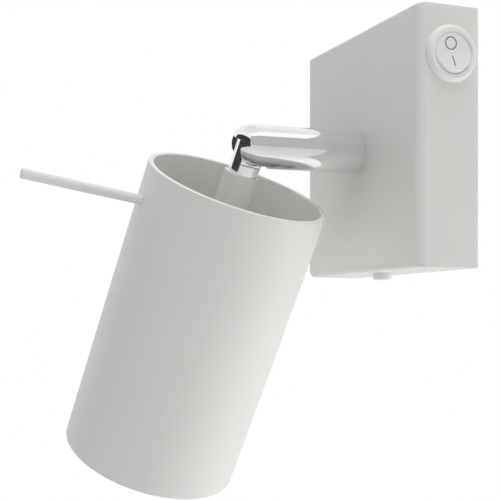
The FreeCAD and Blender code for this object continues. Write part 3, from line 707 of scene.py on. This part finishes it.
block_nylon = finish("block_nylon", colour(0.80, 0.79, 0.73), colour(0.74, 0.73, 0.66),
                     patch_mm=4.0, rough=(0.40, 0.55), grain_mm=0.25, grain_depth_mm=0.004)
plain_brass = finish("plain_brass", colour(0.78, 0.60, 0.30), colour(0.62, 0.44, 0.20),
                     patch_mm=3.0, rough=(0.20, 0.38), grain_mm=0.20, grain_depth_mm=0.002, metal=1.0)
black_nylon = finish("black_nylon", colour(0.028, 0.028, 0.029), colour(0.045, 0.045, 0.046),
                     patch_mm=3.0, rough=(0.40, 0.60), grain_mm=0.20, grain_depth_mm=0.003)
soft_rubber = finish("soft_rubber", colour(0.035, 0.034, 0.033), colour(0.055, 0.053, 0.051),
                     patch_mm=5.0, rough=(0.60, 0.80), grain_mm=0.30, grain_depth_mm=0.006)
glazed_ceramic = finish("glazed_ceramic", colour(0.83, 0.81, 0.75), colour(0.76, 0.74, 0.67),
                        patch_mm=2.0, rough=(0.22, 0.40), grain_mm=0.35, grain_depth_mm=0.005)
lamp_aluminium = finish("lamp_aluminium", colour(0.80, 0.80, 0.80), colour(0.72, 0.72, 0.73),
                        patch_mm=6.0, rough=(0.25, 0.40), grain_mm=0.30, grain_depth_mm=0.004, metal=1.0)
frosted_glass = finish("frosted_glass", colour(0.92, 0.93, 0.93), colour(0.88, 0.89, 0.90),
                       patch_mm=6.0, rough=(0.25, 0.40), grain_mm=0.50, grain_depth_mm=0.010,
                       Transmission_Weight=0.25, IOR=1.47)
lead_plastic = finish("lead_plastic", colour(0.05, 0.12, 0.35), colour(0.04, 0.10, 0.30),
                      patch_mm=4.0, rough=(0.35, 0.50), grain_mm=0.25, grain_depth_mm=0.003)
mark_ink = finish("mark_ink", colour(0.11, 0.11, 0.11), colour(0.16, 0.16, 0.16),
                  patch_mm=1.0, rough=(0.45, 0.60), grain_mm=0.15, grain_depth_mm=0.002)

node_finishes = {
    "white_coat": powder_coat, "chrome": bright_chrome, "zinc_steel": zinc_plate,
    "white_plastic": switch_plastic, "block_plastic": block_nylon, "brass": plain_brass,
    "black_nylon": black_nylon, "rubber": soft_rubber, "ceramic": glazed_ceramic,
    "lamp_shell": lamp_aluminium, "lamp_glass": frosted_glass, "lead_cover": lead_plastic,
}


# Wall box

def cover_outline(low, high, front_edge_round):
    """Folded plate's outline as (point, outward direction, edge radius), softest along the front."""
    points = [(Vector((low.x, high.y)), Vector((-1, 0)), cover_edge_round)]
    for middle_x, start in ((low.x + fold_radius, 180), (high.x - fold_radius, 270)):
        for step in range(FOLD_STEPS + 1):
            turn = math.radians(start + 90 * step / FOLD_STEPS)
            out = Vector((math.cos(turn), math.sin(turn)))
            forward = -out.y
            frontness = forward * forward * (3 - 2 * forward)
            radius = cover_edge_round + (front_edge_round - cover_edge_round) * frontness
            points.append((Vector((middle_x, low.y + fold_radius)) + out * fold_radius, out, radius))
    points.append((Vector((high.x, high.y)), Vector((1, 0)), cover_edge_round))
    return points


def barrel_radius():
    """Radius of the switch's barrel, which goes through the cover's side."""
    return side_reach("switch_body", switch_place, high=-CLEAR)


def cover():
    """Folded cover, with holes for the arm, its two screws and the switch."""
    low, high = span("base_cover", box_place)
    wall = cover_wall
    bottom = cover_outline(low, high, bottom_front_edge_round)
    top = cover_outline(low, high, top_front_edge_round)
    shell = as_object("cover_shell", soft_ended_prism(bottom, top, low.z, high.z))
    inner_fold = fold_radius - wall
    inner = rounded([(low.x + wall, high.y + CLEAR, 0), (low.x + wall, low.y + wall, inner_fold),
                     (high.x - wall, low.y + wall, inner_fold), (high.x - wall, high.y + CLEAR, 0)])
    spigot = reach("arm", arm_place, high=-low.y) + hole_gap
    setback = sum(corner.y for corner in span("cover_screws", box_place)) / 2
    switch_tool = drill(barrel_radius() + barrel_gap, -barrel_tool_depth, wall, axis="x")
    to_box = box_place.inverted() @ switch_place
    to_box.translation = to_box.translation / MM
    bmesh.ops.transform(switch_tool, matrix=to_box, verts=switch_tool.verts)
    combined(shell, [
        prism(inner, low.z + wall, high.z - wall),
        drill(spigot, low.y - CLEAR, CLEAR, axis="y"),
        drill(screw_hole_radius, low.z - CLEAR, high.z + CLEAR, at=(0, setback, 0)),
        switch_tool,
    ])
    put(shell, box_place, "box", powder_coat, ["base_cover"])


def cover_screws():
    """Pan-head screws in the top and the underside of the box."""
    low, high = span("cover_screws", box_place)
    face = span("base_cover", box_place)[1].z
    length = face - min(abs(p.z) for p in local_points("cover_screws", box_place))
    top = high.z - face
    middle = Vector((0, (low.y + high.y) / 2, 0))
    outline = rounded([(0, -length, 0), (screw_shank_radius, -length, screw_foot_round),
                       (screw_shank_radius, 0, 0), (high.x, 0, screw_foot_round),
                       (high.x, top, screw_head_round), (0, top, 0)], closed=False)
    screws = []
    for turn in (0, 180):
        screw = combined(as_object("screw", turned(outline)), cross_slots(screw_recess, top))
        round_edges(screw, screw_recess_round)
        screw.data.transform(Matrix.Translation(middle) @ Matrix.Rotation(math.radians(turn), 4, "Y")
                             @ Matrix.Translation((0, 0, face)))
        screws.append(screw)
    put(joined("pan_screws", screws), box_place, "box", powder_coat, ["cover_screws"])


# Rocker switch

def switch_bezel():
    """Barrel with a softly rounded bezel, and the hollow that the rocker sits in."""
    low, high = span("switch_body", switch_place)
    outer = side_reach("switch_body", switch_place)
    window = least_side_reach("switch_body", switch_place, high.x)
    seat_radius = window - rocker_gap + rocker_seat_gap
    seat_start = math.degrees(math.asin((high.x - window_lip_depth + rocker_pivot_depth) / seat_radius))
    seat = arc((0, -rocker_pivot_depth), seat_radius, seat_start, 0, SEAT_STEPS)
    barrel = barrel_radius()
    outline = rounded([(0, low.x, 0), (barrel, low.x, bezel_foot_round), (barrel, 0, 0), (outer, 0, 0),
                       (outer, bezel_rim_height, bezel_outer_round),
                       (outer - bezel_slope, high.x, bezel_top_round), (window, high.x, bezel_lip_round),
                       (seat[0].x, seat[0].y, 0)], closed=False)
    outline += seat[1:] + [Vector((seat_radius, -cavity_depth)), Vector((0, -cavity_depth))]
    shell = as_object("switch_bezel", moved(turned(outline), "x"))
    pin = window + rocker_gap + hole_gap
    pin_hole = drill(rocker_pin_radius + hole_gap, -pin, pin, axis="y", at=(-rocker_pivot_depth, 0, 0))
    combined(shell, [pin_hole])
    put(shell, switch_place, "box", switch_plastic, ["switch_body"])


def raised_face_turn():
    """Turns a shape drawn on the flush face to the raised face."""
    ridge = Matrix.Translation((rocker_flush_height, 0, 0))
    return ridge @ Matrix.Rotation(math.radians(-rocker_throw), 4, "Y") @ ridge.inverted()


def rocker():
    """Ball-shaped rocker, flush on its upper half and raised on its lower half."""
    bezel_top = span("switch_body", switch_place)[1].x
    radius = least_side_reach("switch_body", switch_place, bezel_top) - rocker_gap
    pin_end = span("switch_rocker", switch_place)[1].y
    pivot = (-rocker_pivot_depth, 0, 0)
    skirt = math.degrees(math.asin((rocker_pivot_depth - rocker_skirt_depth) / radius))
    outline = [Vector((0, -rocker_skirt_depth))]
    outline += arc((0, -rocker_pivot_depth), radius, skirt, 90, BALL_STEPS)
    body = as_object("switch_rocker_cap", moved(turned(outline), "x"))
    far = 2 * radius
    raised = raised_face_turn() @ Vector((rocker_flush_height, 0, -far))
    above_face = rounded([(rocker_flush_height, -far, 0), (rocker_flush_height, 0, rocker_valley_radius),
                          (raised.x, -raised.z, 0), (raised.x + far, -raised.z, 0),
                          (rocker_flush_height + far, -far, 0)], steps=VALLEY_STEPS)
    combined(body, [side_prism(above_face, far)])
    round_edges(body, rocker_edge_round)
    combined(body, [drill(rocker_pin_radius, -pin_end, pin_end, axis="y", at=pivot)], "UNION")
    put(body, switch_place, "rocker", switch_plastic, ["switch_rocker"],
        [on_ball(radius, pivot)])


def rocker_marks():
    """Printed O on the flush half and I on the raised half."""
    inner = ring_mark_radius - mark_line
    base = rocker_flush_height - mark_height / 2
    top = rocker_flush_height + mark_height / 2
    ring_outline = [(inner, base), (ring_mark_radius, base), (ring_mark_radius, top), (inner, top)]
    ring = moved(turned(ring_outline, closed=True), "x", (0, ring_mark_shift, ring_mark_place))
    bar_low = -bar_mark_place - bar_mark_length / 2
    bar = block((base, bar_mark_shift - mark_line / 2, bar_low),
                (top, bar_mark_shift + mark_line / 2, bar_low + bar_mark_length))
    bmesh.ops.transform(bar, matrix=raised_face_turn(), verts=bar.verts)
    for name, mark in (("mark_off", ring), ("mark_on", bar)):
        put(as_object(name, mark), switch_place, "rocker", mark_ink)


# Arm and ball joint

def arm():
    """Chromed arm with its slotted ball end."""
    shoulder = span("arm_base_ring", arm_place)[1].z
    spigot_end = span("arm", arm_place)[0].z
    radius = reach("arm", arm_place)
    spigot = reach("arm", arm_place, high=shoulder - CLEAR)
    half_slot = span("hinge_washers", arm_place)[1].x
    pivot = (0, 0, pivot_reach)
    outline = rounded([(0, spigot_end, 0), (spigot, spigot_end, arm_shoulder_round), (spigot, shoulder, 0),
                       (radius, shoulder, arm_shoulder_round), (radius, pivot_reach, 0)], closed=False)
    outline += arc((0, pivot_reach), radius, 0, 90, BALL_STEPS)[1:]
    body = as_object("arm_body", turned(outline))
    pin_low, pin_high = span("hinge_pin", arm_place)
    head_radius = pin_high.y + hole_gap
    head_start = pin_low.x + pin_head_height
    far = 2 * radius
    combined(body, [
        drill(arm_bore_radius, spigot_end - CLEAR, pivot_reach),
        block((-half_slot, -far, pivot_reach - slot_back), (half_slot, slot_roof, pivot_reach + far)),
        flat_sided_ball(pocket_radius, half_slot, pivot),
        drill(pin_shank_radius + hole_gap, -far, pin_hole_end, axis="x", at=pivot),
        drill(head_radius, -far, head_start, axis="x", at=pivot),
    ])
    round_edges(body, knuckle_edge_round)
    put(body, arm_place, "arm", bright_chrome, ["arm"],
        [on_cylinder(radius, shoulder, pivot_reach), on_ball(radius, pivot), on_ball(pocket_radius, pivot)])


def arm_base_ring():
    """Chromed ring between the arm's shoulder and the box's front."""
    low, high = span("arm_base_ring", arm_place)
    outer = reach("arm_base_ring", arm_place)
    outline = rounded([(ring_bore_radius, low.z, 0), (outer, low.z, ring_edge_round),
                       (outer, high.z, ring_edge_round), (ring_bore_radius, high.z, 0)])
    ring = as_object("base_ring", turned(outline, closed=True))
    put(ring, arm_place, "arm", bright_chrome, ["arm_base_ring"],
        [on_cylinder(outer, low.z + ring_edge_round, high.z - ring_edge_round)])


def hinge_pin():
    """Slotted pin through the cheeks and the stub's tongue."""
    low, high = span("hinge_pin", arm_place)
    under_head = low.x + pin_head_height
    outline = rounded([(0, low.x, 0), (high.y, low.x, pin_edge_round), (high.y, under_head, 0),
                       (pin_shank_radius, under_head, 0), (pin_shank_radius, high.x, pin_edge_round),
                       (0, high.x, 0)], closed=False)
    pin = as_object("slotted_pin", moved(turned(outline), "x", (0, 0, pivot_reach)))
    width, depth = pin_notch
    notch = block((low.x - CLEAR, -width / 2, pivot_reach - 2 * high.y),
                  (low.x + depth, width / 2, pivot_reach + 2 * high.y))
    combined(pin, [notch])
    put(pin, arm_place, "arm", bright_chrome, ["hinge_pin"])


# Stub that carries the head

def stub():
    """Chromed stub: flat-sided tongue with a window, collar, and thread."""
    low, high = span("swivel_stub", head_place)
    radius = reach("swivel_stub", head_place, low=-tongue_end - 2 * CLEAR, high=0)
    collar = reach("swivel_stub", head_place)
    collar_heights = [p.z for p in local_points("swivel_stub", head_place)
                      if math.hypot(p.x, p.y) > collar - hole_gap]
    collar_top = max(collar_heights)
    collar_end = min(collar_heights)
    sleeve_end = span("stub_sleeve", head_place)[0].z
    half_tongue = min(abs(p.x) for p in local_points("hinge_washers", arm_place)) - hole_gap
    outline = rounded([(0, high.z, 0), (radius, high.z, 0), (radius, collar_top, 0),
                       (collar, collar_top, collar_round), (collar, collar_end, collar_round),
                       (thread_radius, collar_end, 0)], closed=False)
    thread_foot = thread_radius - thread_depth
    for turn in range(int((sleeve_end - low.z) / thread_pitch)):
        crest = sleeve_end - turn * thread_pitch
        outline += [Vector((thread_radius, crest)), Vector((thread_foot, crest - thread_pitch / 2))]
    outline += [Vector((thread_radius, low.z + thread_depth)), Vector((thread_foot, low.z)),
                Vector((0, low.z))]
    body = as_object("stub_body", turned(outline))
    half_width = window_width / 2
    half_length = window_length / 2 - half_width
    window = arc((0, half_length), half_width, 0, 180, WINDOW_END_STEPS)
    window += arc((0, -half_length), half_width, 180, 360, WINDOW_END_STEPS)
    far = 2 * radius
    combined(body, [
        block((half_tongue, -far, -tongue_end), (far, far, far)),
        block((-far, -far, -tongue_end), (-half_tongue, far, far)),
        drill(stub_bore_radius, low.z - CLEAR, collar_top),
        prism(window, collar_top, high.z + CLEAR),
        drill(pin_shank_radius + hole_gap, -far, far, axis="x"),
    ])
    round_edges(body, stub_edge_round)
    put(body, head_place, "head", bright_chrome, ["swivel_stub"],
        [on_cylinder(radius, collar_top, high.z),
         on_cylinder(collar, collar_end + collar_round, collar_top - collar_round)])


def sleeve():
    """White sleeve round the stub's thread."""
    low, high = span("stub_sleeve", head_place)
    outer = reach("stub_sleeve", head_place)
    seat = high.z - sleeve_recess_depth
    outline = rounded([(sleeve_bore_radius, low.z, 0), (outer, low.z, sleeve_edge_round),
                       (outer, high.z, sleeve_edge_round), (sleeve_recess_radius, high.z, 0),
                       (sleeve_recess_radius, seat, 0), (sleeve_bore_radius, seat, 0)])
    shell = as_object("sleeve_shell", turned(outline, closed=True))
    put(shell, head_place, "head", powder_coat, ["stub_sleeve"],
        [on_cylinder(outer, low.z + sleeve_edge_round, high.z - sleeve_edge_round)])


# Lamp tube, handle rod and rear screw

def rod_height():
    """Height of the rod's axis, which is the rear screw's too."""
    low, high = span("handle_rod", head_place)
    return (low.z + high.z) / 2


def tube():
    """Tube open at both ends; its inner wall gets a lighter copy of the coat, painted light that brightens the
    shaded inside.
    """
    low, high = span("shade_tube", head_place)
    radii = [math.hypot(p.x, p.y) for p in local_points("shade_tube", head_place)]
    outer = max(radii)
    inner = min(radii)
    edge = tube_edge_round
    outline = rounded([(inner, low.z, edge), (outer, low.z, edge), (outer, high.z, edge),
                       (inner, high.z, edge)])
    shell = as_object("tube_shell", turned(outline, closed=True, sides=TUBE_SIDES))
    far = 2 * outer
    combined(shell, [drill(rod_hole_radius, -far, far, axis="y", at=(0, 0, rod_height()))])
    put(shell, head_place, "head", powder_coat, ["shade_tube"],
        [on_cylinder(outer, low.z + edge, high.z - edge), on_cylinder(inner, low.z + edge, high.z - edge)])
    shell.data.materials.append(painted_light_inner_coat)
    to_local = head_place.inverted()
    for face in shell.data.polygons:
        middle = (to_local @ face.center) / MM
        if math.hypot(middle.x, middle.y) < inner + hole_gap:
            face.material_index = 1


def handle_rod():
    """White rod with a thread that goes through the tube's wall."""
    low, high = span("handle_rod", head_place)
    radius = high.x
    foot = -reach("shade_tube", head_place)
    outline = rounded([(0, low.y, 0), (radius, low.y, rod_tip_round), (radius, foot, 0),
                       (rod_thread_radius, foot, 0), (rod_thread_radius, high.y, 0), (0, high.y, 0)],
                      closed=False)
    bar = as_object("rod_bar", moved(turned(outline), "y", (0, 0, rod_height())))
    put(bar, head_place, "head", powder_coat, ["handle_rod"],
        [on_side_cylinder(radius, rod_height(), low.y + rod_tip_round, foot)])


def rear_screw():
    """Pan-head screw on the tube's rear side, its head's foot curved to the tube."""
    low, high = span("rear_screw", head_place)
    outer = reach("shade_tube", head_place)
    radius = high.x
    foot = outer - CLEAR
    middle = (0, 0, rod_height())
    outline = rounded([(0, foot, 0), (radius, foot, 0), (radius, high.y, screw_head_round),
                       (0, high.y, 0)], closed=False)
    screw = as_object("rear_pan_screw", moved(turned(outline), "y", middle))
    combined(screw, [moved(slot, "y", middle) for slot in cross_slots(rear_recess, high.y)])
    combined(screw, [drill(outer + rear_head_gap, low.z - CLEAR, high.z + CLEAR, sides=HEAD_FOOT_SIDES)])
    round_edges(screw, screw_recess_round)
    recess_floor = high.y - rear_recess[2]
    combined(screw, [drill(rod_thread_radius, low.y, recess_floor, axis="y", at=middle)], "UNION")
    put(screw, head_place, "head", powder_coat, ["rear_screw"])


# Lamp

def lamp():
    """Reflector lamp: shell with its neck, curved flank and rim, and a frosted front glass."""
    low, high = span("lamp_body", head_place)
    outer = reach("lamp_body", head_place)
    lens_low, lens_high = span("lamp_lens", head_place)
    lens = reach("lamp_lens", head_place)
    flank_top = high.z - lamp_neck_length
    flank_end = low.z + lamp_rim_height
    bulge = Vector(((lamp_neck_radius + outer) / 2 + lamp_flank_bulge,
                    (flank_top + flank_end) / 2 + lamp_flank_bulge_rise))
    cup_floor = high.z - lamp_neck_length - lamp_cup_floor
    seat = lens + hole_gap
    outline = [Vector((0, high.z))]
    outline += rounded([(0, high.z, 0), (lamp_neck_radius, high.z, lamp_edge_round),
                        (lamp_neck_radius, flank_top, 0)], closed=False)[1:-1]
    outline += arc_through(Vector((lamp_neck_radius, flank_top)), bulge, Vector((outer, flank_end)),
                           FLANK_STEPS)
    outline += rounded([(outer, flank_end, 0), (outer, low.z, lamp_edge_round),
                        (seat, low.z, lens_edge_round), (seat, lens_high.z, 0)], closed=False)[1:]
    outline += [Vector((seat - lamp_shell, lens_high.z)), Vector((lamp_neck_radius - lamp_shell, cup_floor)),
                Vector((0, cup_floor))]
    shell = as_object("lamp_shell_body", turned(outline))
    put(shell, head_place, "lamp", lamp_aluminium, ["lamp_body"])
    glass_outline = rounded([(0, lens_high.z, 0), (lens, lens_high.z, 0), (lens, lens_low.z, lens_edge_round),
                             (0, lens_low.z, 0)], closed=False)
    glass = as_object("lamp_front_glass", turned(glass_outline))
    put(glass, head_place, "lamp", frosted_glass, ["lamp_lens"])


# Small inner pieces, as the CAD made them

def finish_nodes():
    """Gives every CAD node the finish of its slot."""
    for part in frame["record"]["subparts"]:
        materials = frame["nodes"][part["node"]].data.materials
        materials.clear()
        materials.append(node_finishes[part["material_slot"]])


def soften_inner_pieces():
    """Rounds the edges of the small pieces that keep their own shape."""
    for part in frame["record"]["subparts"]:
        thing = frame["nodes"][part["node"]]
        if thing.hide_render:
            continue
        weld = thing.modifiers.new("weld", "WELD")
        weld.merge_threshold = WELD_METRES
        edges = thing.modifiers.new("edges", "BEVEL")
        edges.width = inner_edge_round * MM
        edges.segments = INNER_EDGE_STEPS
        edges.limit_method = "ANGLE"
        edges.angle_limit = SHARP_ANGLE
        normals = thing.modifiers.new("flat_faces", "WEIGHTED_NORMAL")
        normals.keep_sharp = True


# Studio

def floor():
    """Plain pale floor that keeps the object's shadow."""
    bm = bmesh.new()
    bmesh.ops.create_grid(bm, x_segments=1, y_segments=1, size=floor_half_size)
    ground = as_object("floor", bm)
    ground.location.z = floor_height
    made = bpy.data.materials.new("pale_floor")
    made.use_nodes = True
    tree = Tree(made.node_tree)
    shader = made.node_tree.nodes["Principled BSDF"]
    tree.feed(shader.inputs["Base Color"], colour(*floor_grey))
    tree.feed(shader.inputs["Roughness"], tree.spread(tree.noise(floor_patch_mm), *floor_rough))
    rays = tree.node("ShaderNodeLightPath")
    seen = tree.math("MAXIMUM", rays.outputs["Is Camera Ray"], rays.outputs["Is Transmission Ray"])
    plain_glow = tree.math("MULTIPLY", seen, floor_glow_seen)
    glow = tree.blend(rays.outputs["Is Glossy Ray"], plain_glow, floor_glow_mirrored)
    tree.feed(shader.inputs["Emission Color"], colour(1, 1, 1))
    tree.feed(shader.inputs["Emission Strength"], glow)
    ground.data.materials.append(made)


def studio_world():
    """White to the camera. To the object: pale all round, with a grey side and one dark screen."""
    world = bpy.data.worlds.new("studio")
    bpy.context.scene.world = world
    world.use_nodes = True
    tree = Tree(world.node_tree)
    background = world.node_tree.nodes["Background"]
    split = tree.node("ShaderNodeSeparateXYZ")
    tree.feed(split.inputs[0], tree.node("ShaderNodeTexCoord").outputs["Generated"])
    x, y, z = split.outputs
    height = tree.math("DEGREES", tree.math("ARCSINE", z))
    round_turn = tree.math("DEGREES", tree.math("ARCTAN2", x, tree.math("MULTIPLY", y, -1.0)))
    rays = tree.node("ShaderNodeLightPath")
    mirrored = rays.outputs["Is Glossy Ray"]
    light = tree.blend(tree.step(height, *horizon), light_below, light_above)
    overhead = tree.blend(mirrored, *overhead_light)
    light = tree.blend(tree.step(height, *overhead_limits), light, overhead)
    side = tree.band(round_turn, *side_turns)
    for low, high, soft, strength in side_bands:
        share = tree.math("MULTIPLY", side, tree.band(height, low, high, soft))
        light = tree.blend(share, light, strength)
    away = tree.math("DIVIDE", tree.math("ABSOLUTE", round_turn), screen_half_width)
    up = tree.math("DIVIDE", tree.math("MAXIMUM", height, 0.0), screen_height)
    from_middle = tree.math("ADD", tree.math("POWER", away, 2.0), tree.math("POWER", up, 2.0))
    screen = tree.step(from_middle, *screen_rim, 1.0, 0.0)
    left = tree.math("SUBTRACT", round_turn, tree.blend(mirrored, *screen_left))
    for edge in (tree.step(left, -screen_left_soft, screen_left_soft),
                 tree.step(round_turn, *screen_right, 1.0, 0.0),
                 tree.step(height, *screen_foot)):
        screen = tree.math("MULTIPLY", screen, edge)
    light = tree.blend(screen, light, tree.blend(mirrored, *screen_light))
    seen = tree.math("MAXIMUM", rays.outputs["Is Camera Ray"], rays.outputs["Is Transmission Ray"])
    tree.feed(background.inputs["Strength"], tree.blend(seen, light, 1.0))
    tree.feed(background.inputs["Color"], colour(1, 1, 1))


def soft_lamp(name, target, direction, distance, size, power):
    """Round lamp that shines on a target, in metres and watts."""
    light = bpy.data.lights.new(name, "AREA")
    light.shape = "DISK"
    light.size = size
    light.energy = power
    made = bpy.data.objects.new(name, light)
    made.location = Vector(target) + Vector(direction).normalized() * distance
    made.rotation_euler = Vector(direction).to_track_quat("Z", "Y").to_euler()
    bpy.context.scene.collection.objects.link(made)
    made.visible_camera = False
    made.visible_glossy = False


def camera():
    """Level camera with the photograph's place, turn and framing."""
    lens = bpy.data.cameras.new("camera")
    lens.lens = camera_lens
    lens.sensor_width = camera_sensor
    lens.shift_x, lens.shift_y = camera_shift
    made = bpy.data.objects.new("camera", lens)
    made.location = camera_place
    made.rotation_euler = (math.radians(90), 0, math.radians(camera_turn))
    bpy.context.scene.collection.objects.link(made)
    bpy.context.scene.camera = made


camera()
bpy.context.scene.view_settings.view_transform = "Standard"
studio_world()
floor()
soft_lamp("back_low_lamp", target=(-0.02, -0.06, -0.05), direction=(0.2, 0.8, -0.57),
          distance=0.5, size=0.3, power=1.05)
soft_lamp("side_lamp", target=(0, -0.03, 0), direction=(0.85, -0.1, 0.35),
          distance=0.8, size=0.5, power=0.42)
soft_lamp("top_lamp", target=(0, -0.06, 0), direction=(0.25, 0.1, 0.96),
          distance=0.8, size=0.5, power=1.7)

finish_nodes()
cover()
cover_screws()
switch_bezel()
rocker()
rocker_marks()
arm()
arm_base_ring()
hinge_pin()
stub()
sleeve()
tube()
handle_rod()
rear_screw()
lamp()
soften_inner_pieces()
